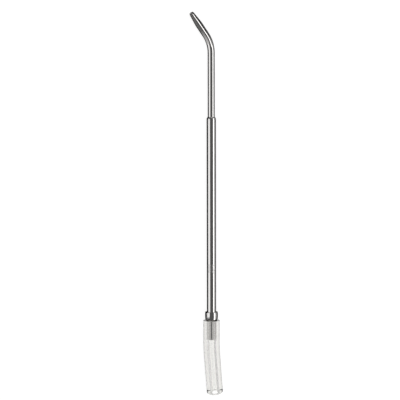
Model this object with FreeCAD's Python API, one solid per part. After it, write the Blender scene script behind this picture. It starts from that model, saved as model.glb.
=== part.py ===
import FreeCAD, Part
import math
import os

from FreeCAD import Vector

# Oral surgery aspirator, in millimetres: a slim steel suction tube with a bent, tapered tip runs
# right through a handle sleeve and a stop collar, and its tail carries a short soft adapter hose.
# Each piece is drawn with the tube's centre line on the Y axis, the tip towards +Y and the collar's
# upper face at Y = 0, and the whole tool is then laid down as it rests on a table.

# Suction tube: a 3/16 inch tube.
TUBE_OD = 4.76
TUBE_WALL = 0.51
BARE_LENGTH = 43.2      # straight tube that shows between the handle and the bend
BEND_RADIUS = 22.0      # of the centre line
BEND_ANGLE = 34.0
TIP_RUN = 8.45          # straight tube between the bend and the taper
TAPER_LENGTH = 8.4
TAPER_BLEND = 30.0      # radius that eases the tube into the taper
TAPER_END_OD = 3.2
NOSE_RADIUS = 2.0       # rounds the end of the taper in to the mouth
MOUTH_BORE = 2.1
LIP_RADIUS = 0.12
TAIL_OUTER_BREAK = 0.2  # chamfers on the cut end inside the hose
TAIL_INNER_BREAK = 0.12
SPIGOT_LENGTH = 12.75   # tail of the tube below the collar, inside the hose

# Handle sleeve: a 1/4 inch tube, spun in at its upper end to close on the suction tube.
SLEEVE_OD = 6.35
SLEEVE_WALL = 0.51
SLEEVE_LENGTH = 133.4   # length that shows above the collar
SHOULDER_HEIGHT = 1.4
SHOULDER_EDGE = 0.12    # width of the spun end's face

# Stop collar: a turned ring with a faintly barrelled side and a well rounded lower edge.
COLLAR_OD = 8.85
COLLAR_LENGTH = 6.4
COLLAR_SIDE_RADIUS = 26.0  # of the barrelled side, seen in profile
COLLAR_TOP_ROUND = 0.35
COLLAR_LOWER_ROUND = 1.9
COLLAR_SOCKET = 3.0     # depth of the seat for the sleeve
COLLAR_SOCKET_EDGE = 0.15

# Adapter hose: thick silicone tube, stretched over the spigot.
HOSE_OD = 11.1
HOSE_BORE = 4.4         # where nothing stretches it
HOSE_LENGTH = 50.6
HOSE_LAP = 0.5          # how far its mouth comes up round the collar
BORE_EASE = 2.2         # length over which the stretched bore shrinks back
HOSE_BEND_RADIUS = 120.0
HOSE_LEAN = 4.3         # degrees to the side opposite the tip
HOSE_CUT_SLANT = 8.0    # the free end is cut off square by this much, longer on top
HOSE_END_BREAK = 0.2    # chamfers on the free end
HOSE_BORE_BREAK = 0.15

# Clearances between pieces.
SOLDER_GAP = 0.02       # radial, steel in steel
GRIP_GAP = 0.01         # radial, silicone on steel

# The tool lies on its hose and on the bend of its tube, rolled a little so that its weight is
# above the line between the two.
ROLL = 3.6

tube_r = TUBE_OD / 2
tube_bore_r = tube_r - TUBE_WALL
sleeve_r = SLEEVE_OD / 2
collar_r = COLLAR_OD / 2
hose_r = HOSE_OD / 2
hose_bore_r = HOSE_BORE / 2

tail_y = -(COLLAR_LENGTH + SPIGOT_LENGTH)
bend_y = SLEEVE_LENGTH + BARE_LENGTH
hose_mouth_y = HOSE_LAP - COLLAR_LENGTH
hose_bend_y = tail_y - BORE_EASE
hose_cut_reach = hose_r * math.tan(math.radians(HOSE_CUT_SLANT))


def point(radius, y):
    """A point of a turned profile."""
    return Vector(radius, y, 0)


def line(start, end):
    return Part.LineSegment(start, end).toShape()


def arc(centre, radius, first_deg, last_deg):
    """A profile arc, with angles from outwards (0) to up the tool (90)."""
    def on_arc(deg):
        turn = math.radians(deg)
        return centre + Vector(math.cos(turn), math.sin(turn), 0) * radius
    middle = (first_deg + last_deg) / 2
    return Part.Arc(on_arc(first_deg), on_arc(middle), on_arc(last_deg)).toShape()


def turned(edges):
    """The solid that a closed profile sweeps about the Y axis."""
    wire = Part.Wire(Part.__sortEdges__(edges))
    return Part.Face(wire).revolve(Vector(0, 0, 0), Vector(0, 1, 0), 360)


def closed_profile(points):
    """Straight edges that join the points and close the last to the first."""
    return [line(a, b) for a, b in zip(points, points[1:] + points[:1])]


def ring_face(outer_r, inner_r, y):
    """A ring square to the Y axis, the section of a bent tube."""
    centre = Vector(0, y, 0)
    along = Vector(0, 1, 0)
    rim = Part.Wire(Part.makeCircle(outer_r, centre, along))
    hole = Part.Wire(Part.makeCircle(inner_r, centre, along))
    return Part.Face(rim).cut(Part.Face(hole)).Faces[0]


def tail_run():
    """The straight tube from the spigot's end to the bend, its cut end deburred."""
    return turned(closed_profile([
        point(tube_r, bend_y),
        point(tube_r, tail_y + TAIL_OUTER_BREAK),
        point(tube_r - TAIL_OUTER_BREAK, tail_y),
        point(tube_bore_r + TAIL_INNER_BREAK, tail_y),
        point(tube_bore_r, tail_y + TAIL_INNER_BREAK),
        point(tube_bore_r, bend_y),
    ]))


def tube_bend():
    """The bent stretch, which turns towards -X."""
    pivot = Vector(-BEND_RADIUS, bend_y, 0)
    return ring_face(tube_r, tube_bore_r, bend_y).revolve(pivot, Vector(0, 0, 1), BEND_ANGLE)


def tip_run():
    """The straight end past the bend: full tube, swaged taper, rounded nose and open mouth.

    Its own Y axis starts at the end of the bend, and every stretch of the outside is tangent to
    the next.
    """
    taper_end_r = TAPER_END_OD / 2
    mouth_r = MOUTH_BORE / 2
    slope = math.atan((tube_r - taper_end_r) / TAPER_LENGTH)
    blend_reach = TAPER_BLEND * math.tan(slope / 2)
    blend_start_y = TIP_RUN - blend_reach
    blend_centre = point(tube_r - TAPER_BLEND, blend_start_y)
    blend_end = blend_centre + Vector(math.cos(slope), math.sin(slope), 0) * TAPER_BLEND
    taper_end_y = TIP_RUN + TAPER_LENGTH
    taper_end = point(taper_end_r, taper_end_y)
    nose_centre = taper_end - Vector(math.cos(slope), math.sin(slope), 0) * NOSE_RADIUS

    lip_centre_r = mouth_r + LIP_RADIUS
    lip_turn = math.acos((lip_centre_r - nose_centre.x) / (NOSE_RADIUS - LIP_RADIUS))
    nose_end = nose_centre + Vector(math.cos(lip_turn), math.sin(lip_turn), 0) * NOSE_RADIUS
    lip_centre = nose_end - Vector(math.cos(lip_turn), math.sin(lip_turn), 0) * LIP_RADIUS

    slope_deg = math.degrees(slope)
    lip_deg = math.degrees(lip_turn)
    run = turned([
        line(point(tube_r, 0), point(tube_r, blend_start_y)),
        arc(blend_centre, TAPER_BLEND, 0, slope_deg),
        line(blend_end, taper_end),
        arc(nose_centre, NOSE_RADIUS, slope_deg, lip_deg),
        arc(lip_centre, LIP_RADIUS, lip_deg, 180),
        line(point(mouth_r, lip_centre.y), point(mouth_r, taper_end_y)),
        line(point(mouth_r, taper_end_y), point(tube_bore_r, TIP_RUN)),
        line(point(tube_bore_r, TIP_RUN), point(tube_bore_r, 0)),
        line(point(tube_bore_r, 0), point(tube_r, 0)),
    ])
    run.translate(Vector(0, bend_y, 0))
    run.rotate(Vector(-BEND_RADIUS, bend_y, 0), Vector(0, 0, 1), BEND_ANGLE)
    return run


def suction_tube():
    return tail_run().fuse([tube_bend(), tip_run()]).removeSplitter()


def handle_sleeve():
    """The outer tube. Its upper end curves in, outside and inside alike, to a land on the tube."""
    land_r = tube_r + SOLDER_GAP
    inner_r = sleeve_r - SLEEVE_WALL
    shoulder_y = SLEEVE_LENGTH - SHOULDER_HEIGHT
    reach = sleeve_r - (land_r + SHOULDER_EDGE)
    outer_turn_r = (SHOULDER_HEIGHT ** 2 + reach ** 2) / (2 * reach)
    outer_turn = math.degrees(math.asin(SHOULDER_HEIGHT / outer_turn_r))
    inner_turn_r = outer_turn_r - SLEEVE_WALL
    inner_turn = math.degrees(math.acos(1 - (inner_r - land_r) / inner_turn_r))
    land_start_y = shoulder_y + inner_turn_r * math.sin(math.radians(inner_turn))
    turn_centre = point(sleeve_r - outer_turn_r, shoulder_y)
    return turned([
        line(point(sleeve_r, -COLLAR_SOCKET), point(sleeve_r, shoulder_y)),
        arc(turn_centre, outer_turn_r, 0, outer_turn),
        line(point(land_r + SHOULDER_EDGE, SLEEVE_LENGTH), point(land_r, SLEEVE_LENGTH)),
        line(point(land_r, SLEEVE_LENGTH), point(land_r, land_start_y)),
        arc(turn_centre, inner_turn_r, inner_turn, 0),
        line(point(inner_r, shoulder_y), point(inner_r, -COLLAR_SOCKET)),
        line(point(inner_r, -COLLAR_SOCKET), point(sleeve_r, -COLLAR_SOCKET)),
    ])


def collar_blank(grown=0.0):
    """The collar's outside with no bore, made larger all round by the given amount.

    The barrelled side is tangent to the round above it and to the one below.
    """
    top_round_y = -COLLAR_TOP_ROUND
    lower_round_y = COLLAR_LOWER_ROUND - COLLAR_LENGTH
    side_centre = point(collar_r - COLLAR_SIDE_RADIUS, (top_round_y + lower_round_y) / 2)
    to_top = COLLAR_SIDE_RADIUS - COLLAR_TOP_ROUND
    to_lower = COLLAR_SIDE_RADIUS - COLLAR_LOWER_ROUND
    top_turn = math.asin((top_round_y - side_centre.y) / to_top)
    lower_turn = math.asin((lower_round_y - side_centre.y) / to_lower)
    top_centre = point(side_centre.x + to_top * math.cos(top_turn), top_round_y)
    lower_centre = point(side_centre.x + to_lower * math.cos(lower_turn), lower_round_y)
    top_deg = math.degrees(top_turn)
    lower_deg = math.degrees(lower_turn)
    top_y = grown
    low_y = -COLLAR_LENGTH - grown
    return turned([
        line(point(0, top_y), point(top_centre.x, top_y)),
        arc(top_centre, COLLAR_TOP_ROUND + grown, 90, top_deg),
        arc(side_centre, COLLAR_SIDE_RADIUS + grown, top_deg, lower_deg),
        arc(lower_centre, COLLAR_LOWER_ROUND + grown, lower_deg, -90),
        line(point(lower_centre.x, low_y), point(0, low_y)),
        line(point(0, low_y), point(0, top_y)),
    ])


def stop_collar():
    bore_r = tube_r + SOLDER_GAP
    socket_r = sleeve_r + SOLDER_GAP
    hollow = turned(closed_profile([
        point(0, -2 * COLLAR_LENGTH),
        point(bore_r, -2 * COLLAR_LENGTH),
        point(bore_r, -COLLAR_SOCKET),
        point(socket_r, -COLLAR_SOCKET),
        point(socket_r, -COLLAR_SOCKET_EDGE),
        point(socket_r + COLLAR_SOCKET_EDGE, 0),
        point(socket_r + COLLAR_SOCKET_EDGE, COLLAR_LENGTH),
        point(0, COLLAR_LENGTH),
    ]))
    return collar_blank().cut(hollow)


def nose_down():
    """The slope, in radians, at which the hose's mouth and the tube's bend both touch the table."""
    bend_contact_y = bend_y + BEND_RADIUS * math.sin(math.radians(BEND_ANGLE / 2))
    return math.asin((hose_r - tube_r) / (bend_contact_y - hose_mouth_y))


def rest_turn():
    """The rotation that lays the tool down: the roll, then the nose down."""
    rolled = FreeCAD.Rotation(Vector(0, 1, 0), ROLL)
    return FreeCAD.Rotation(Vector(1, 0, 0), -math.degrees(nose_down())) * rolled


def hose_free_direction():
    """The way the hose's free end points in the tool's own frame.

    On the table it leans sideways and comes down just enough for its end to touch.
    """
    lean = math.radians(HOSE_LEAN)
    bend_middle_y = hose_bend_y - HOSE_BEND_RADIUS * lean / 2
    to_bend_middle = hose_mouth_y - bend_middle_y
    risen = to_bend_middle * math.sin(nose_down())
    droop = math.asin(risen / (HOSE_LENGTH - hose_cut_reach - to_bend_middle))
    level = Vector(math.sin(lean), -math.cos(lean), 0) * math.cos(droop)
    return rest_turn().inverted().multVec(level - Vector(0, 0, math.sin(droop)))


def hose_bend_turn():
    """The pivot, axis and angle that swing the hose from the tube's line to its free run."""
    tailwards = Vector(0, -1, 0)
    free = hose_free_direction()
    sideways = free - tailwards * free.dot(tailwards)
    sideways.normalize()
    pivot = Vector(0, hose_bend_y, 0) + sideways * HOSE_BEND_RADIUS
    axis = tailwards.cross(free)
    axis.normalize()
    return pivot, axis, math.degrees(tailwards.getAngle(free))


def hose_free_run_length():
    bent = HOSE_BEND_RADIUS * math.radians(hose_bend_turn()[2])
    return HOSE_LENGTH - (hose_mouth_y - hose_bend_y) - bent


def cut_off():
    """What the slanting cut takes off below the free end, for a hose that ends at Y = 0.

    The hose keeps its longest side on top as the tool lies.
    """
    reach = 4 * hose_r
    block = Part.makeBox(2 * reach, reach, 2 * reach, Vector(-reach, -reach, -reach))
    block.rotate(Vector(0, 0, 0), Vector(1, 0, 0), HOSE_CUT_SLANT)
    block.rotate(Vector(0, 0, 0), Vector(0, 1, 0), -ROLL)
    return block


def hose_free_run(end_y):
    """The straight end of the hose before it leans, with its slanting cut and broken edges."""
    run = turned(closed_profile([
        point(hose_r, hose_bend_y),
        point(hose_bore_r, hose_bend_y),
        point(hose_bore_r, end_y - 2 * hose_cut_reach),
        point(hose_r, end_y - 2 * hose_cut_reach),
    ]))
    block = cut_off()
    block.translate(Vector(0, end_y, 0))
    run = run.cut(block)
    for rim_r, edge_break in ((hose_r, HOSE_END_BREAK), (hose_bore_r, HOSE_BORE_BREAK)):
        run = run.makeChamfer(edge_break, [rim_at(run, rim_r, end_y)])
    return run


def rim_at(run, rim_r, end_y):
    """The edge of the slanting cut at the given radius."""
    def misfit(edge):
        around = edge.CenterOfMass
        width = edge.BoundBox.XLength
        return abs(around.y - end_y) + abs(width - 2 * rim_r)
    return min(run.Edges, key=misfit)


def adapter_hose():
    """The soft hose: mouth seated round the collar, stretched bore, slow bend and free run."""
    grip_r = tube_r + GRIP_GAP
    gripping = turned(closed_profile([
        point(hose_r, hose_bend_y),
        point(hose_r, hose_mouth_y),
        point(grip_r, hose_mouth_y),
        point(grip_r, tail_y),
        point(hose_bore_r, hose_bend_y),
    ]))
    gripping = gripping.cut(collar_blank(GRIP_GAP))

    pivot, axis, angle = hose_bend_turn()
    bent = ring_face(hose_r, hose_bore_r, hose_bend_y).revolve(pivot, axis, angle)

    free = hose_free_run(hose_bend_y - hose_free_run_length())
    free.rotate(pivot, axis, angle)
    return gripping.fuse([bent, free]).removeSplitter()


def rest_place(pieces):
    """Where the tool lies: turned to rest, its box centred on X and Y and standing on Z = 0."""
    turned_down = FreeCAD.Placement(Vector(0, 0, 0), rest_turn())
    tool = Part.Compound([placed(piece, turned_down) for piece in pieces])
    box = tool.optimalBoundingBox(False, False)
    back = Vector(-(box.XMin + box.XMax) / 2, -(box.YMin + box.YMax) / 2, -box.ZMin)
    return FreeCAD.Placement(back, rest_turn())


def placed(piece, place):
    copy = piece.copy()
    copy.Placement = place.multiply(copy.Placement)
    return copy


def say(name, place, local_point, local_direction):
    """Prints a point and a direction of the laid-down tool."""
    where = place.multVec(local_point)
    way = place.Rotation.multVec(local_direction)
    print(name, [round(c, 7) for c in where], "towards", [round(c, 9) for c in way])


def main():
    pieces = {
        "suction_tube": suction_tube(),
        "handle_sleeve": handle_sleeve(),
        "stop_collar": stop_collar(),
        "adapter_hose": adapter_hose(),
    }
    place = rest_place(list(pieces.values()))
    os.makedirs("parts", exist_ok=True)
    for name, piece in pieces.items():
        laid = placed(piece, place)
        laid.exportStep(os.path.join("parts", name + ".step"))
        print(name, "valid", laid.isValid(), "solids", len(laid.Solids), "volume", round(laid.Volume, 2))

    pivot, axis, angle = hose_bend_turn()
    swing = FreeCAD.Rotation(axis, angle)
    run_length = hose_free_run_length() + hose_cut_reach - HOSE_END_BREAK
    run_middle_y = hose_bend_y - run_length / 2
    run_middle = pivot + swing.multVec(Vector(0, run_middle_y, 0) - pivot)
    say("hose free run, middle", place, run_middle, hose_free_direction())
    print("hose free run, straight length", round(run_length, 3))


main()
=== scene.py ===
import math

import bmesh
import bpy
from bpy.props import FloatProperty, FloatVectorProperty, IntProperty, PointerProperty
from mathutils import Matrix, Vector


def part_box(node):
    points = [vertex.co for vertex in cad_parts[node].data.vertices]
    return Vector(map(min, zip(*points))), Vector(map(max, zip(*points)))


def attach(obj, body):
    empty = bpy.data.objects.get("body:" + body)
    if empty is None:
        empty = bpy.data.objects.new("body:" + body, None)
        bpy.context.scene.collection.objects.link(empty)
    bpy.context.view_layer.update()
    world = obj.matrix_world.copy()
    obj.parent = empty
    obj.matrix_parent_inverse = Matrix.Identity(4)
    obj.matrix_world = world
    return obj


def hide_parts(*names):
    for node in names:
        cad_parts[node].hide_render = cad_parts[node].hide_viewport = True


bl_info = {
    "name": "Oral Surgery Aspirator",
    "version": (1, 0, 0),
    "blender": (4, 5, 0),
    "location": "3D View > Sidebar > Aspirator",
    "description": "A bent steel suction tube with its handle sleeve, stop collar "
                   "and soft adapter hose",
    "category": "Add Mesh",
}

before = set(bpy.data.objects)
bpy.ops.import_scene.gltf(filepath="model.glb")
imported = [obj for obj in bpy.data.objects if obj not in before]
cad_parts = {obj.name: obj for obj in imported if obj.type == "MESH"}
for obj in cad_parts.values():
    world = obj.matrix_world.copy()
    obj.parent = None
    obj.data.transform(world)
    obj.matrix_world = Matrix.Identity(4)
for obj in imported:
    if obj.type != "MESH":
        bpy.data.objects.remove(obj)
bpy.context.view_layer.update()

# Every piece is made in the tool's own frame, in metres: the steel tube's centre line on Y, the tip
# towards +Y, the collar's upper face at Y = 0. It is then laid down as the tool rests on a table.
MM = 0.001
WELD = 0.5e-6
HOLD = 0.35 * MM            # support loops this far from the ends of a straight run
SOLDER_GAP = 0.02 * MM
GRIP_GAP = 0.01 * MM
GRIP_SINK = 0.01 * MM       # stretched silicone wets the tail, so no air shows between the two
MADE = "made_place"         # attribute with a point's place on the straight, unbent piece
INSIDE = "inside"           # attribute that is 1 on the wall of an open bore
SHARP = math.radians(32)
POLISH = (0.05, 0.1)        # least and greatest roughness of the polished steel
HAZE = (0.06, 0.1)          # and of the silicone
BORE_ROUGHNESS = 0.5
ETCH_ROUGHNESS = 0.36
ETCH_EDGE = 0.25 * MM       # over which the etched panel fades out
HATCH_PITCH = 0.45 * MM     # of the etched panel's slanted lines
TURNING_PITCH = 0.22 * MM   # of the rings round the collar
SILICONE_IOR = 1.41
SILICONE_DEPTH = {"Color": (0.5, 0.49, 0.45, 1), "Density": 52.0}
CARD_HEIGHT = 0.3 * MM      # of the cards that lie on the floor


def size(name, description, millimetres):
    """A length that a user may change, given in millimetres."""
    return FloatProperty(name=name, description=description, default=millimetres * MM, min=0.0,
                         precision=5, subtype="DISTANCE", unit="LENGTH")


def turn(name, description, degrees):
    return FloatProperty(name=name, description=description, default=math.radians(degrees),
                         subtype="ANGLE", unit="ROTATION")


def share(name, description, default, top=1.0):
    return FloatProperty(name=name, description=description, default=default, min=0.0, max=top,
                         subtype="FACTOR")


def colour(name, description, default):
    return FloatVectorProperty(name=name, description=description, default=default, size=3,
                               min=0.0, max=1.0, subtype="COLOR")


def count(name, description, default):
    return IntProperty(name=name, description=description, default=default, min=3)


class SuctionTubeSizes(bpy.types.PropertyGroup):
    od: size("Outside", "Outside diameter of the slim tube", 4.76)
    wall: size("Wall", "Wall of the slim tube", 0.51)
    bare_length: size("Bare length", "Straight tube between the handle and the bend", 43.2)
    bend_radius: size("Bend radius", "Radius of the bend's centre line", 22.0)
    bend_angle: turn("Bend angle", "How far the tip turns to the side", 34.0)
    tip_run: size("Tip run", "Straight tube between the bend and the taper", 8.45)
    taper_length: size("Taper length", "Length of the swaged taper", 8.4)
    taper_blend: size("Taper blend", "Radius that eases the tube into its taper", 30.0)
    taper_end_od: size("Taper end", "Outside diameter at the end of the taper", 3.2)
    nose_radius: size("Nose radius", "Round that leads in to the mouth", 2.0)
    mouth_bore: size("Mouth bore", "Bore of the open mouth", 2.1)
    lip_radius: size("Lip radius", "Round of the mouth's lip", 0.12)
    mouth_slant: turn("Mouth slant", "How far the open end leans back on its upper side", 22.0)
    spigot_length: size("Spigot length", "Tail of the tube inside the hose", 12.75)
    tail_break: size("Tail break", "Round of the tail's cut edges", 0.12)


class HandleSleeveSizes(bpy.types.PropertyGroup):
    od: size("Outside", "Outside diameter of the handle", 6.35)
    wall: size("Wall", "Wall of the handle tube", 0.51)
    length: size("Length", "Length that shows above the collar", 133.4)
    shoulder_height: size("Shoulder height", "Length of the spun-in shoulder", 1.4)
    shoulder_edge: size("Shoulder edge", "Width of the spun end's face", 0.12)
    panel_start: size("Panel start", "Height of the etched panel above the collar", 27.1)
    panel_length: size("Panel length", "Length of the etched panel", 6.2)
    panel_spread: turn("Panel spread", "How far the etched panel goes round the handle", 100)


class StopCollarSizes(bpy.types.PropertyGroup):
    od: size("Outside", "Greatest diameter", 8.85)
    length: size("Length", "Length along the tool", 6.4)
    side_radius: size("Side radius", "Radius of the barrelled side", 26.0)
    top_round: size("Top round", "Round of the upper edge", 0.35)
    lower_round: size("Lower round", "Round of the lower edge", 1.9)
    socket: size("Socket", "Depth of the handle's seat", 3.0)
    socket_edge: size("Socket edge", "Chamfer of the seat", 0.15)


class AdapterHoseSizes(bpy.types.PropertyGroup):
    od: size("Outside", "Outside diameter of the hose", 11.1)
    bore: size("Bore", "Bore where nothing stretches it", 4.4)
    length: size("Length", "Length of the hose", 50.6)
    lap: size("Lap", "How far the mouth comes up round the collar", 0.5)
    bore_ease: size("Bore ease", "Length over which the stretched bore shrinks back", 2.2)
    bend_radius: size("Bend radius", "Radius of the slow bend", 120.0)
    lean: turn("Lean", "Lean of the free end to the side", 4.3)
    cut_slant: turn("Cut slant", "How far off square the free end is cut, longer on top", 8.0)
    mouth_round: size("Mouth round", "Round of the mouth's outer edge", 0.12)
    end_break: size("End break", "Round of the free end's edges", 0.2)


class FinishSettings(bpy.types.PropertyGroup):
    steel: colour("Steel", "Colour of the polished steel", (0.66, 0.648, 0.638))
    # the bore's near-black colour is painted shade, standing for the shade deep inside the tube's
    # bore
    bore: colour("Bore", "Colour of the unpolished bore", (0.07, 0.068, 0.066))
    silicone: colour("Silicone", "Colour of the clear silicone", (1.0, 0.998, 0.99))
    milk: share("Milk", "How cloudy the silicone is", 0.03)
    roll: turn("Roll", "Roll of the tool on the table", 3.6)
    round_steps: count("Round steps", "Divisions round a turned piece", 112)


class StageSettings(bpy.types.PropertyGroup):
    camera_tilt: turn("Camera tilt", "Tilt of the camera away from straight down", 6.0)
    camera_roll: turn("Camera roll", "Turn of the camera about its own line of sight", -0.118)
    camera_lens: FloatProperty(name="Lens", description="Focal length on a 36 mm wide sensor",
                               default=106.83, subtype="DISTANCE_CAMERA", unit="CAMERA")
    camera_distance: FloatProperty(name="Distance", description="From the camera to its target",
                                   default=0.80796, subtype="DISTANCE", unit="LENGTH")
    target: FloatVectorProperty(name="Target", description="What the camera points at", size=3,
                                default=(-0.004281, 0.003634, 0.005), subtype="XYZ", unit="LENGTH")
    floor: colour("Floor", "Colour of the floor", (0.32, 0.32, 0.32))
    white: share("White", "How much of the floor's white is its own", 0.8)
    backdrop: share("Backdrop", "Level of the pale backdrop that shows through what is clear", 0.8)
    room: share("Room", "Level of the dim room round the softboxes", 0.12)
    key: share("Key", "Level of the high softbox on the right", 2.1, 10.0)
    grey: share("Grey", "Level of the low softbox on the right", 0.48, 10.0)
    side: share("Side", "Level of the softbox on the left", 1.15, 10.0)
    fill: share("Fill", "Level of the overhead light that polished steel doesn't show", 1.5, 10.0)


class AspiratorSettings(bpy.types.PropertyGroup):
    tube: PointerProperty(type=SuctionTubeSizes)
    sleeve: PointerProperty(type=HandleSleeveSizes)
    collar: PointerProperty(type=StopCollarSizes)
    hose: PointerProperty(type=AdapterHoseSizes)
    finish: PointerProperty(type=FinishSettings)
    stage: PointerProperty(type=StageSettings)


def radial(radius, along):
    """A point of a turned profile: the radius on X, the place along the tool on Y."""
    return Vector((radius, along, 0))


def compass(angle):
    """A unit step of a profile, from outwards (0) to up the tool (a right angle)."""
    return Vector((math.cos(angle), math.sin(angle), 0))


class ProfilePen:
    """Draws one side of a turned piece in a mesh of its own, then spins it about the Y axis."""

    def __init__(self, start):
        self.bm = bmesh.new()
        self.inside = self.bm.verts.layers.float.new(INSIDE)
        self.end = bmesh.ops.create_vert(self.bm, co=start)["vert"][0]

    def mark_inside(self, value):
        """Whether what is drawn from here on is the wall of an open bore."""
        self.end[self.inside] = value

    def step(self, goal):
        made = bmesh.ops.extrude_vert_indiv(self.bm, verts=[self.end])
        self.end = made["verts"][0]
        bmesh.ops.translate(self.bm, verts=[self.end], vec=goal - self.end.co)

    def line(self, goal):
        """A straight side, held near both ends so that its shading stays flat."""
        start = self.end.co.copy()
        way = goal - start
        if way.length > 4 * HOLD:
            self.step(start + way.normalized() * HOLD)
            self.step(goal - way.normalized() * HOLD)
        self.step(goal)

    def arc(self, centre, angle, steps):
        made = bmesh.ops.spin(self.bm, geom=[self.end], cent=centre, axis=(0, 0, 1), angle=angle,
                              steps=steps, use_merge=False)
        self.end = [part for part in made["geom_last"] if isinstance(part, bmesh.types.BMVert)][0]

    def revolved(self, steps):
        bm = self.bm
        bmesh.ops.spin(bm, geom=bm.verts[:] + bm.edges[:], cent=(0, 0, 0), axis=(0, 1, 0),
                       angle=2 * math.pi, steps=steps, use_merge=True)
        bmesh.ops.remove_doubles(bm, verts=bm.verts, dist=WELD)
        return bm


def open_edges(bm):
    return [edge for edge in bm.edges if edge.is_boundary]


def sweep_open_end(bm, pivot, axis, angle, steps):
    """Carries the open end of a tube round a bend."""
    bmesh.ops.spin(bm, geom=open_edges(bm), cent=pivot, axis=axis, angle=angle, steps=steps,
                   use_merge=False)


def run_open_end(bm, way):
    """Carries the open end of a tube straight on, held near both ends of the run."""
    hold = way.normalized() * HOLD
    for stretch in (hold, way - 2 * hold, hold):
        made = bmesh.ops.extrude_edge_only(bm, edges=open_edges(bm))
        new_verts = [part for part in made["geom"] if isinstance(part, bmesh.types.BMVert)]
        bmesh.ops.translate(bm, verts=new_verts, vec=stretch)


def cut_open_end(bm, place, square_to):
    """Cuts a tube's open end along a plane, with a support loop just before the cut."""
    for cut_at, clear in ((place - 2 * HOLD * square_to, False), (place, True)):
        bmesh.ops.bisect_plane(bm, geom=bm.verts[:] + bm.edges[:] + bm.faces[:], dist=WELD,
                               plane_co=cut_at, plane_no=square_to, clear_outer=clear)


def close_open_end(bm, edge_round):
    """Joins the outer and inner rims with a flat face and rounds the two edges."""
    rims = open_edges(bm)
    bmesh.ops.bridge_loops(bm, edges=rims)
    bmesh.ops.bevel(bm, geom=rims, offset=edge_round, offset_type="OFFSET", segments=4,
                    profile=0.5, affect="EDGES", material=-1)


def linked(name, data):
    """A new object in the scene, with its origin at the world's."""
    made = bpy.data.objects.new(name, data)
    bpy.context.scene.collection.objects.link(made)
    return made


def settings():
    return bpy.context.scene.aspirator


def bend_start():
    """Where the straight tube ends and its bend starts, along the tool."""
    return settings().sleeve.length + settings().tube.bare_length


def bend_pivot():
    """The middle of the tube's bend, which turns the tip towards -X."""
    return Vector((-settings().tube.bend_radius, bend_start(), 0))


def collar_arcs(collar):
    """The centres and turns of the three tangent arcs that shape the collar's outside."""
    top_y = -collar.top_round
    lower_y = collar.lower_round - collar.length
    side = radial(collar.od / 2 - collar.side_radius, (top_y + lower_y) / 2)
    to_top = collar.side_radius - collar.top_round
    to_lower = collar.side_radius - collar.lower_round
    top_turn = math.asin((top_y - side.y) / to_top)
    lower_turn = math.asin((lower_y - side.y) / to_lower)
    top = radial(side.x + to_top * math.cos(top_turn), top_y)
    lower = radial(side.x + to_lower * math.cos(lower_turn), lower_y)
    return top, top_turn, side, lower_turn, lower


def nose_down():
    """The slope at which the hose's mouth and the tube's bend both touch the table."""
    s = settings()
    contact_y = bend_start() + s.tube.bend_radius * math.sin(s.tube.bend_angle / 2)
    mouth_y = s.hose.lap - s.collar.length
    return math.asin((s.hose.od - s.tube.od) / 2 / (contact_y - mouth_y))


def rest_turn():
    return (Matrix.Rotation(-nose_down(), 4, "X")
            @ Matrix.Rotation(settings().finish.roll, 4, "Y"))


def upward():
    """Straight up from the table, in the tool's own frame."""
    return rest_turn().to_3x3().inverted() @ Vector((0, 0, 1))


def rest_place():
    """Lays the tool down, with the collar where the frame has it."""
    low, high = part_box("stop_collar")
    middle = Vector((0, -settings().collar.length / 2, 0))
    turned = rest_turn()
    return Matrix.Translation((low + high) / 2 - turned @ middle) @ turned


def hose_swing():
    """The pivot, axis, angle and free direction of the hose's slow bend, in the tool's frame."""
    s = settings()
    hose = s.hose
    mouth_y = hose.lap - s.collar.length
    bend_y = -(s.collar.length + s.tube.spigot_length + hose.bore_ease)
    middle_y = bend_y - hose.bend_radius * hose.lean / 2
    risen = (mouth_y - middle_y) * math.sin(nose_down())
    cut_reach = hose.od / 2 * math.tan(hose.cut_slant)
    droop = math.asin(risen / (hose.length - cut_reach - (mouth_y - middle_y)))
    level = Vector((math.sin(hose.lean), -math.cos(hose.lean), 0)) * math.cos(droop)
    free = rest_turn().to_3x3().inverted() @ (level - Vector((0, 0, math.sin(droop))))
    tailwards = Vector((0, -1, 0))
    sideways = (free - tailwards * free.dot(tailwards)).normalized()
    pivot = Vector((0, bend_y, 0)) + sideways * hose.bend_radius
    return pivot, tailwards.cross(free).normalized(), tailwards.angle(free), free


def unbent_tube(place):
    """Where a point of the bent tube was while the tube was straight."""
    tube = settings().tube
    pivot = bend_pivot()
    arm = place - pivot
    angle = min(max(math.atan2(arm.y, arm.x), 0.0), tube.bend_angle)
    straight = pivot + Matrix.Rotation(-angle, 3, "Z") @ arm
    return straight + Vector((0, tube.bend_radius * angle, 0))


def finish_piece(bm, name, material, node, unbent=lambda place: place):
    """Lays a piece down, gives it its material and puts it in place of its CAD node."""
    bmesh.ops.recalc_face_normals(bm, faces=bm.faces)
    made = bm.verts.layers.float_vector.new(MADE)
    for vert in bm.verts:
        vert[made] = unbent(vert.co)
    bmesh.ops.transform(bm, matrix=rest_place(), verts=bm.verts)
    mesh = bpy.data.meshes.new(name)
    bm.to_mesh(mesh)
    bm.free()
    mesh.shade_smooth()
    mesh.set_sharp_from_angle(angle=SHARP)
    mesh.materials.append(material)
    piece = linked(name, mesh)
    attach(piece, "root")
    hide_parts(node)
    return piece


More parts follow.
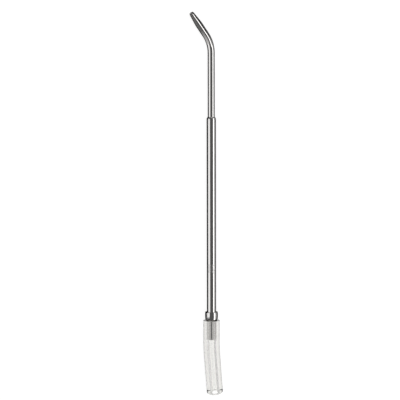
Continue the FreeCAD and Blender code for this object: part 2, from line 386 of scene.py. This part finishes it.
def tip_profile(tube):
    """The tapered tip from its open inner end, over the lip and nose, to its open outer end."""
    tube_r = tube.od / 2
    bore_r = tube_r - tube.wall
    end_r = tube.taper_end_od / 2
    mouth_r = tube.mouth_bore / 2
    slope = math.atan((tube_r - end_r) / tube.taper_length)
    blend_centre = radial(tube_r - tube.taper_blend,
                          tube.tip_run - tube.taper_blend * math.tan(slope / 2))
    taper_end = radial(end_r, tube.tip_run + tube.taper_length)
    nose_centre = taper_end - compass(slope) * tube.nose_radius
    lip_turn = math.acos((mouth_r + tube.lip_radius - nose_centre.x)
                         / (tube.nose_radius - tube.lip_radius))
    lip_centre = nose_centre + compass(lip_turn) * (tube.nose_radius - tube.lip_radius)

    pen = ProfilePen(radial(bore_r, 0))
    pen.mark_inside(1.0)
    pen.line(radial(bore_r, tube.tip_run))
    pen.line(radial(mouth_r, taper_end.y))
    pen.step(radial(mouth_r, lip_centre.y))
    pen.mark_inside(0.0)
    pen.arc(lip_centre, lip_turn - math.pi, 8)
    pen.arc(nose_centre, slope - lip_turn, 14)
    pen.line(blend_centre + compass(slope) * tube.taper_blend)
    pen.arc(blend_centre, -slope, 8)
    pen.line(radial(tube_r, 0))
    return pen


def slant_mouth(bm, tube):
    """Leans the open end back on its upper side, more and more along the last of the taper."""
    up = upward()
    taper_end_y = tube.tip_run + tube.taper_length
    for vert in bm.verts:
        along = (vert.co.y - taper_end_y) / tube.taper_end_od + 1
        share_of_lean = min(max(along, 0.0), 1.0) ** 2
        height = vert.co.dot(up) + tube.taper_end_od / 2
        vert.co.y -= share_of_lean * height * math.tan(tube.mouth_slant)


class ASPIRATOR_OT_suction_tube(bpy.types.Operator):
    """Make the bent suction tube, from its tapered tip down to its tail"""
    bl_idname = "aspirator.suction_tube"
    bl_label = "Suction Tube"

    def execute(self, context):
        s = settings()
        tube = s.tube
        bend_y = bend_start()
        tail_y = -(s.collar.length + tube.spigot_length)
        pivot = bend_pivot()
        bm = tip_profile(tube).revolved(s.finish.round_steps)
        slant_mouth(bm, tube)
        bmesh.ops.translate(bm, verts=bm.verts, vec=(0, bend_y, 0))
        bmesh.ops.rotate(bm, verts=bm.verts, cent=pivot,
                         matrix=Matrix.Rotation(tube.bend_angle, 3, "Z"))
        sweep_open_end(bm, pivot, (0, 0, 1), -tube.bend_angle, 40)
        run_open_end(bm, Vector((0, tail_y - bend_y, 0)))
        close_open_end(bm, tube.tail_break)
        finish_piece(bm, "bent_suction_tube", steel_with_painted_dark_bore("tube_polish", s.finish).material,
                     "suction_tube", unbent_tube)
        return {"FINISHED"}


class ASPIRATOR_OT_handle_sleeve(bpy.types.Operator):
    """Make the handle sleeve with its spun-in shoulder"""
    bl_idname = "aspirator.handle_sleeve"
    bl_label = "Handle Sleeve"

    def execute(self, context):
        s = settings()
        sleeve = s.sleeve
        outer_r = sleeve.od / 2
        inner_r = outer_r - sleeve.wall
        land_r = s.tube.od / 2 + SOLDER_GAP
        seat_y = -s.collar.socket
        shoulder_y = sleeve.length - sleeve.shoulder_height
        reach = outer_r - land_r - sleeve.shoulder_edge
        outer_turn_r = (sleeve.shoulder_height ** 2 + reach ** 2) / (2 * reach)
        outer_turn = math.asin(sleeve.shoulder_height / outer_turn_r)
        inner_turn_r = outer_turn_r - sleeve.wall
        inner_turn = math.acos(1 - (inner_r - land_r) / inner_turn_r)
        turn_centre = radial(outer_r - outer_turn_r, shoulder_y)

        pen = ProfilePen(radial(outer_r, seat_y))
        pen.line(radial(outer_r, shoulder_y))
        pen.arc(turn_centre, outer_turn, 12)
        pen.step(radial(land_r, sleeve.length))
        pen.step(radial(land_r, shoulder_y + inner_turn_r * math.sin(inner_turn)))
        pen.arc(turn_centre, -inner_turn, 10)
        pen.line(radial(inner_r, seat_y))
        pen.step(radial(outer_r, seat_y))
        finish_piece(pen.revolved(s.finish.round_steps), "spun_handle_sleeve",
                     etched_steel("sleeve_polish", s.finish, sleeve).material,
                     "handle_sleeve")
        return {"FINISHED"}


class ASPIRATOR_OT_stop_collar(bpy.types.Operator):
    """Make the turned stop collar with its barrelled side"""
    bl_idname = "aspirator.stop_collar"
    bl_label = "Stop Collar"

    def execute(self, context):
        s = settings()
        collar = s.collar
        bore_r = s.tube.od / 2 + SOLDER_GAP
        seat_r = s.sleeve.od / 2 + SOLDER_GAP
        top, top_turn, side, lower_turn, lower = collar_arcs(collar)

        pen = ProfilePen(radial(bore_r, -collar.length))
        pen.line(radial(bore_r, -collar.socket))
        pen.step(radial(seat_r, -collar.socket))
        pen.line(radial(seat_r, -collar.socket_edge))
        pen.step(radial(seat_r + collar.socket_edge, 0))
        pen.step(radial(top.x, 0))
        pen.arc(top, top_turn - math.pi / 2, 10)
        pen.arc(side, lower_turn - top_turn, 14)
        pen.arc(lower, -math.pi / 2 - lower_turn, 20)
        pen.step(radial(bore_r, -collar.length))
        finish_piece(pen.revolved(s.finish.round_steps), "turned_stop_collar",
                     turned_steel("collar_polish", s.finish).material,
                     "stop_collar")
        return {"FINISHED"}


class ASPIRATOR_OT_adapter_hose(bpy.types.Operator):
    """Make the soft clear hose, seated round the collar and stretched over the tube's tail"""
    bl_idname = "aspirator.adapter_hose"
    bl_label = "Adapter Hose"

    def execute(self, context):
        s = settings()
        hose = s.hose
        hose_r = hose.od / 2
        grip_r = s.tube.od / 2 - GRIP_SINK
        tail_y = -(s.collar.length + s.tube.spigot_length)
        bend_y = tail_y - hose.bore_ease
        mouth_y = hose.lap - s.collar.length
        lower = collar_arcs(s.collar)[-1]
        seat_r = s.collar.lower_round + GRIP_GAP
        seat_turn = math.asin((mouth_y - lower.y) / seat_r)

        pen = ProfilePen(radial(hose.bore / 2, bend_y))
        pen.line(radial(grip_r, tail_y))
        pen.line(radial(grip_r, lower.y - seat_r))
        pen.step(radial(lower.x, lower.y - seat_r))
        pen.arc(lower, seat_turn + math.pi / 2, 8)
        pen.step(radial(hose_r - hose.mouth_round, mouth_y))
        pen.arc(radial(hose_r - hose.mouth_round, mouth_y - hose.mouth_round), -math.pi / 2, 4)
        pen.line(radial(hose_r, bend_y))
        bm = pen.revolved(s.finish.round_steps)

        pivot, axis, angle, free = hose_swing()
        sweep_open_end(bm, pivot, axis, angle, 14)
        run_length = hose.length - (mouth_y - bend_y) - hose.bend_radius * angle
        straight_end = Vector((0, bend_y - run_length, 0))
        end = Matrix.Rotation(angle, 3, axis) @ (straight_end - pivot) + pivot
        run_open_end(bm, free * (run_length + hose.od))
        cut_open_end(bm, end,
                     free * math.cos(hose.cut_slant) - upward() * math.sin(hose.cut_slant))
        close_open_end(bm, hose.end_break)
        finish_piece(bm, "clear_adapter_hose", clear_silicone("milky_silicone", s.finish),
                     "adapter_hose")
        return {"FINISHED"}


class Recipe:
    """A material that is put together node by node."""

    def __init__(self, name):
        self.material = bpy.data.materials.new(name)
        self.material.use_nodes = True
        self.tree = self.material.node_tree
        self.shader = self.tree.nodes["Principled BSDF"]

    def node(self, kind, inputs=None, **values):
        made = self.tree.nodes.new(kind)
        for key, value in values.items():
            setattr(made, key, value)
        for key, value in (inputs or {}).items():
            self.feed(made.inputs[key], value)
        return made

    def feed(self, socket, value):
        if isinstance(value, bpy.types.NodeSocket):
            self.tree.links.new(value, socket)
        else:
            socket.default_value = value

    def place(self):
        """Where the point was on the straight piece."""
        return self.node("ShaderNodeAttribute", attribute_name=MADE).outputs["Vector"]

    def noise(self, place, scale, stretch, detail=2.0):
        """Uneven streaks. The stretch is along the tool."""
        mapped = self.node("ShaderNodeMapping", {"Vector": place,
                                                 "Scale": (scale, scale / stretch, scale)})
        return self.node("ShaderNodeTexNoise", {"Vector": mapped.outputs[0], "Scale": 1.0,
                                                "Detail": detail}).outputs["Fac"]

    def uneven(self, noise, least, most):
        """A value that follows a noise, whose range is mostly from 0.3 to 0.7."""
        return self.spread(noise, 0.3, 0.7, least, most)

    def spread(self, value, low, high, to_low, to_high):
        return self.node("ShaderNodeMapRange", {0: value, 1: low, 2: high, 3: to_low,
                                                4: to_high}).outputs[0]

    def maths(self, operation, first, second=0.0):
        return self.node("ShaderNodeMath", {0: first, 1: second}, operation=operation).outputs[0]

    def blend(self, amount, first, second):
        return self.node("ShaderNodeMix", {0: amount, 6: (*first, 1), 7: (*second, 1)},
                         data_type="RGBA").outputs[2]

    def bump(self, height, distance, under=None):
        inputs = {"Height": height, "Distance": distance, "Strength": 1.0}
        if under is not None:
            inputs["Normal"] = under
        return self.node("ShaderNodeBump", inputs).outputs[0]


def polished_steel(name, finish):
    """Mirror-polished stainless steel with fine lengthways polish lines."""
    recipe = Recipe(name)
    shader = recipe.shader
    shader.inputs["Metallic"].default_value = 1.0
    shader.inputs["Base Color"].default_value = (*finish.steel, 1)
    place = recipe.place()
    lines = recipe.noise(place, 9000, 60)
    waves = recipe.noise(place, 160, 3, 1.0)
    recipe.feed(shader.inputs["Roughness"], recipe.uneven(lines, *POLISH))
    flow = recipe.bump(waves, 0.00002)
    recipe.feed(shader.inputs["Normal"], recipe.bump(lines, 0.0000006, flow))
    return recipe


def steel_with_painted_dark_bore(name, finish):
    """The tube's polish, with a dull bore that no polishing reaches, coloured near-black as painted
    shade.
    """
    recipe = polished_steel(name, finish)
    shader = recipe.shader
    bore = recipe.node("ShaderNodeAttribute", attribute_name=INSIDE).outputs["Fac"]
    # paints the bore near-black as painted shade inside the bore; only its higher roughness is real
    recipe.feed(shader.inputs["Base Color"], recipe.blend(bore, finish.steel, finish.bore))
    polish = shader.inputs["Roughness"].links[0].from_socket
    dull = recipe.maths("MULTIPLY", bore, BORE_ROUGHNESS)
    recipe.feed(shader.inputs["Roughness"], recipe.maths("MAXIMUM", polish, dull))
    return recipe


def etched_steel(name, finish, sleeve):
    """The handle's polish, with a small matt-etched panel near its lower end."""
    recipe = polished_steel(name, finish)
    shader = recipe.shader
    x, y, z = recipe.node("ShaderNodeSeparateXYZ", {0: recipe.place()}).outputs
    low, high = sleeve.panel_start, sleeve.panel_start + sleeve.panel_length
    above = recipe.spread(y, low, low + ETCH_EDGE, 0.0, 1.0)
    below = recipe.spread(y, high - ETCH_EDGE, high, 1.0, 0.0)
    facing = sleeve.od / 2 * math.cos(sleeve.panel_spread / 2)
    in_front = recipe.spread(z, facing, facing + ETCH_EDGE, 0.0, 1.0)
    panel = recipe.maths("MULTIPLY", recipe.maths("MULTIPLY", above, below), in_front)
    slanted = recipe.maths("MULTIPLY", recipe.maths("ADD", y, x), 2 * math.pi / HATCH_PITCH)
    hatch = recipe.maths("SINE", slanted)
    grain = recipe.node("ShaderNodeTexNoise", {"Vector": recipe.place(), "Scale": 12000.0,
                                               "Detail": 2.0}).outputs["Fac"]
    etch = recipe.maths("MULTIPLY", panel, recipe.spread(hatch, -0.4, 0.4, 0.45, 1.0))
    polish = shader.inputs["Roughness"].links[0].from_socket
    matt = recipe.maths("MULTIPLY", etch, ETCH_ROUGHNESS)
    recipe.feed(shader.inputs["Roughness"], recipe.maths("MAXIMUM", polish, matt))
    flow = shader.inputs["Normal"].links[0].from_socket
    pits = recipe.maths("MULTIPLY", etch, recipe.maths("ADD", grain, 1.0))
    recipe.feed(shader.inputs["Normal"], recipe.bump(pits, 0.000006, flow))
    return recipe


def turned_steel(name, finish):
    """The collar's polish over the faint rings that turning left round it."""
    recipe = polished_steel(name, finish)
    shader = recipe.shader
    along = recipe.node("ShaderNodeSeparateXYZ", {0: recipe.place()}).outputs["Y"]
    rings = recipe.maths("SINE", recipe.maths("MULTIPLY", along, 2 * math.pi / TURNING_PITCH))
    flow = shader.inputs["Normal"].links[0].from_socket
    recipe.feed(shader.inputs["Normal"], recipe.bump(rings, 0.0000012, flow))
    return recipe


def clear_silicone(name, finish):
    """Milky clear silicone with the faint lines of its extrusion."""
    recipe = Recipe(name)
    shader = recipe.shader
    shader.inputs["Base Color"].default_value = (*finish.silicone, 1)
    shader.inputs["Transmission Weight"].default_value = 1.0 - finish.milk
    shader.inputs["IOR"].default_value = SILICONE_IOR
    place = recipe.place()
    lines = recipe.noise(place, 1800, 80)
    haze = recipe.noise(place, 300, 2)
    recipe.feed(shader.inputs["Roughness"], recipe.uneven(haze, *HAZE))
    recipe.feed(shader.inputs["Normal"], recipe.bump(lines, 0.0000004))
    depth = recipe.node("ShaderNodeVolumeAbsorption", SILICONE_DEPTH)
    recipe.feed(recipe.tree.nodes["Material Output"].inputs["Volume"], depth.outputs[0])
    return recipe.material


def stage_plane(name, low, high, height, material):
    """A level rectangle that belongs to the stage, from one corner to the other."""
    bm = bmesh.new()
    bmesh.ops.create_grid(bm, x_segments=1, y_segments=1, size=0.5)
    width, depth = high[0] - low[0], high[1] - low[1]
    bmesh.ops.scale(bm, verts=bm.verts, vec=(width, depth, 1))
    bmesh.ops.translate(bm, verts=bm.verts, vec=(low[0] + width / 2, low[1] + depth / 2, height))
    mesh = bpy.data.meshes.new(name)
    bm.to_mesh(mesh)
    bm.free()
    mesh.materials.append(material)
    plane = linked(name, mesh)
    return plane


def card_material(name, level, fade=None):
    """A card's even glow, or one that fades between two places on Y: (place, level, place)."""
    recipe = Recipe(name)
    recipe.tree.nodes.remove(recipe.shader)
    output = recipe.tree.nodes["Material Output"]
    glow = recipe.node("ShaderNodeEmission", {"Strength": level})
    if fade:
        near_y, near_level, far_y = fade
        place = recipe.node("ShaderNodeTexCoord").outputs["Object"]
        along = recipe.node("ShaderNodeSeparateXYZ", {0: place}).outputs["Y"]
        recipe.feed(glow.inputs["Strength"], recipe.spread(along, near_y, far_y, near_level, level))
    recipe.feed(output.inputs["Surface"], glow.outputs[0])
    return recipe.material


def reflected_card(name, low, high, height, level, fade=None):
    """A studio card that only shows in what is polished."""
    card = stage_plane(name, low, high, height, card_material(name, level, fade))
    card.visible_camera = False
    card.visible_diffuse = False
    card.visible_transmission = False
    card.visible_shadow = False
    card.visible_volume_scatter = False
    return card


def turned_card(name, centre, along, facing, width, length, level, fade=None):
    """A reflected card of any lie: its length along one way, its face square to another."""
    card = reflected_card(name, (-width / 2, -length / 2), (width / 2, length / 2), 0, level, fade)
    along = Vector(along).normalized()
    facing = Vector(facing).normalized()
    lie = Matrix((along.cross(facing), along, facing)).transposed()
    card.data.transform(Matrix.Translation(centre) @ lie.to_4x4())
    return card


def tip_cards(tube):
    """Cards close round the bent tip: dim walls at its sides and a bright streak over it."""
    turned = rest_place()
    lean = Matrix.Rotation(tube.bend_angle, 3, "Z")
    middle = turned @ (bend_pivot() + lean @ Vector((tube.bend_radius, 8 * MM, 0)))
    along = lean @ Vector((0, 1, 0))
    across = lean @ Vector((1, 0, 0))
    up = Vector((0, 0, 1))
    left = -across * 6 * MM
    right = across * 14 * MM
    wall, overhead = up * 8 * MM, up * 20 * MM
    turned_card("tip_left_card", middle + left + wall, along, across,
                16 * MM, 26 * MM, 0.18, (0.105, 1.0, 0.115))
    turned_card("tip_right_card", middle + right + wall, along, -across,
                16 * MM, 44 * MM, 0.05, (0.112, 0.5, 0.122))
    turned_card("tip_streak_card", middle + right + overhead, along, -(right + overhead),
                12 * MM, 44 * MM, 2.4)


def hose_cards(hose):
    """Grey cards that only show through the clear hose, beside it on the floor and overhead."""
    low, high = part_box("adapter_hose")
    lie = Matrix.Rotation(hose.lean * 0.8, 3, "Z")     # of the bent hose as a whole
    along = lie @ Vector((0, 1, 0))
    across = lie @ Vector((1, 0, 0))
    middle = Vector(((low.x + high.x) / 2, (low.y + high.y) / 2, CARD_HEIGHT))
    up = Vector((0, 0, 1))
    width, length = 80 * MM, 70 * MM
    aside = across * (0.32 * hose.od + width / 2)
    cards = [
        turned_card("hose_left_shade", middle - aside, along, up, width, length, 0.9),
        turned_card("hose_right_shade", middle + aside, along, up, width, length, 0.7),
        reflected_card("overhead_card", (-0.17, -0.3), (0.14, -0.1), 0.45, 0.18),
    ]
    for card in cards:
        card.visible_glossy = False
        card.visible_transmission = True


def floor_material(name, stage):
    """A pale floor that is white where it is seen, reflected or looked through to, and that
    keeps a shadow."""
    recipe = Recipe(name)
    shader = recipe.shader
    shader.inputs["Base Color"].default_value = (*stage.floor, 1)
    shader.inputs["Roughness"].default_value = 0.9
    shader.inputs["Specular IOR Level"].default_value = 0.0
    shader.inputs["Emission Color"].default_value = (1, 1, 1, 1)
    rays = recipe.node("ShaderNodeLightPath").outputs
    seen = recipe.maths("MAXIMUM", rays["Is Camera Ray"], rays["Is Glossy Ray"])
    own = recipe.maths("MULTIPLY", seen, stage.white)
    glow = recipe.maths("MAXIMUM", own, rays["Is Transmission Ray"])
    recipe.feed(shader.inputs["Emission Strength"], glow)
    return recipe.material


def add_softbox(name, place, target, width, length, level):
    """A rectangular lamp whose face has the given brightness, its length along the tool."""
    light = bpy.data.lights.new(name, "AREA")
    light.shape = "RECTANGLE"
    light.size = width
    light.size_y = length
    light.energy = level * math.pi * width * length
    lamp = linked(name, light)
    lamp.location = place
    lamp.rotation_euler = (Vector(target) - Vector(place)).to_track_quat("-Z", "X").to_euler()
    lamp.visible_transmission = False
    return lamp


class ASPIRATOR_OT_stage(bpy.types.Operator):
    """Set up the floor, the soft light, the studio cards and the camera"""
    bl_idname = "aspirator.stage"
    bl_label = "Stage"

    def execute(self, context):
        scene = context.scene
        stage = settings().stage
        stage_plane("floor", (-4, -4), (4, 4), -0.02 * MM, floor_material("pale_floor", stage))

        world = bpy.data.worlds.new("studio")
        world.use_nodes = True
        scene.world = world
        background = world.node_tree.nodes["Background"]
        background.inputs["Color"].default_value = (1, 1, 1, 1)
        rays = world.node_tree.nodes.new("ShaderNodeLightPath")
        level = world.node_tree.nodes.new("ShaderNodeMapRange")
        level.inputs["To Min"].default_value = stage.room
        level.inputs["To Max"].default_value = stage.backdrop
        white = world.node_tree.nodes.new("ShaderNodeMath")
        white.operation = "MAXIMUM"
        world.node_tree.links.new(rays.outputs["Is Transmission Ray"], level.inputs["Value"])
        world.node_tree.links.new(level.outputs["Result"], white.inputs[0])
        world.node_tree.links.new(rays.outputs["Is Camera Ray"], white.inputs[1])
        world.node_tree.links.new(white.outputs[0], background.inputs["Strength"])

        add_softbox("key_softbox", (0.50, -0.06, 0.336), (0, -0.06, 0), 0.25, 1.3, stage.key)
        add_softbox("grey_softbox", (0.62, -0.06, 0.109), (0, -0.06, 0), 0.21, 1.3, stage.grey)
        add_softbox("side_softbox", (-0.504, -0.02, 0.326), (0, -0.02, 0), 0.55, 0.42, stage.side)
        fill = add_softbox("overhead_fill", (0, 0, 1.3), (0, 0, 0), 1.6, 1.6, stage.fill)
        fill.visible_glossy = False

        reflected_card("left_low_card", (-0.08, -0.0768), (0.0034, 0.3), CARD_HEIGHT, 0.01)
        reflected_card("right_low_card", (0.0036, -0.0768), (0.08, 0.3), CARD_HEIGHT, 0.12)
        reflected_card("hose_left_card", (-0.08, -0.15), (-0.0022, -0.0768), CARD_HEIGHT, 0.02)
        reflected_card("hose_right_card", (0.0095, -0.15), (0.08, -0.0768), CARD_HEIGHT, 0.04)

        tip_cards(settings().tube)
        hose_cards(settings().hose)

        camera = bpy.data.cameras.new("camera")
        camera.sensor_width = 36
        camera.lens = stage.camera_lens
        eye = linked("camera", camera)
        tilt = stage.camera_tilt
        back = Vector((0, math.sin(tilt), math.cos(tilt)))
        eye.location = Vector(stage.target) + back * stage.camera_distance
        facing = Matrix.Rotation(-tilt, 3, "X") @ Matrix.Rotation(stage.camera_roll, 3, "Z")
        eye.rotation_euler = facing.to_euler()
        scene.camera = eye
        scene.view_settings.view_transform = "Standard"
        return {"FINISHED"}


class ASPIRATOR_PT_parts(bpy.types.Panel):
    """Lists the operators that make the aspirator and its stage"""
    bl_idname = "ASPIRATOR_PT_parts"
    bl_label = "Aspirator"
    bl_space_type = "VIEW_3D"
    bl_region_type = "UI"
    bl_category = "Aspirator"

    def draw(self, context):
        for operator in OPERATORS:
            self.layout.operator(operator.bl_idname)
        for group in (settings().tube, settings().sleeve, settings().collar, settings().hose,
                      settings().finish, settings().stage):
            column = self.layout.column(align=True)
            for name in group.bl_rna.properties.keys():
                if name not in {"rna_type", "name"}:
                    column.prop(group, name)


GROUPS = (SuctionTubeSizes, HandleSleeveSizes, StopCollarSizes, AdapterHoseSizes, FinishSettings,
          StageSettings, AspiratorSettings)
OPERATORS = (ASPIRATOR_OT_suction_tube, ASPIRATOR_OT_handle_sleeve, ASPIRATOR_OT_stop_collar,
             ASPIRATOR_OT_adapter_hose, ASPIRATOR_OT_stage)


def register():
    for cls in GROUPS + OPERATORS + (ASPIRATOR_PT_parts,):
        bpy.utils.register_class(cls)
    bpy.types.Scene.aspirator = PointerProperty(type=AspiratorSettings)


def unregister():
    del bpy.types.Scene.aspirator
    for cls in reversed(GROUPS + OPERATORS + (ASPIRATOR_PT_parts,)):
        bpy.utils.unregister_class(cls)


def main():
    register()
    bpy.ops.aspirator.suction_tube()
    bpy.ops.aspirator.handle_sleeve()
    bpy.ops.aspirator.stop_collar()
    bpy.ops.aspirator.adapter_hose()
    bpy.ops.aspirator.stage()


if __name__ == "__main__":
    main()
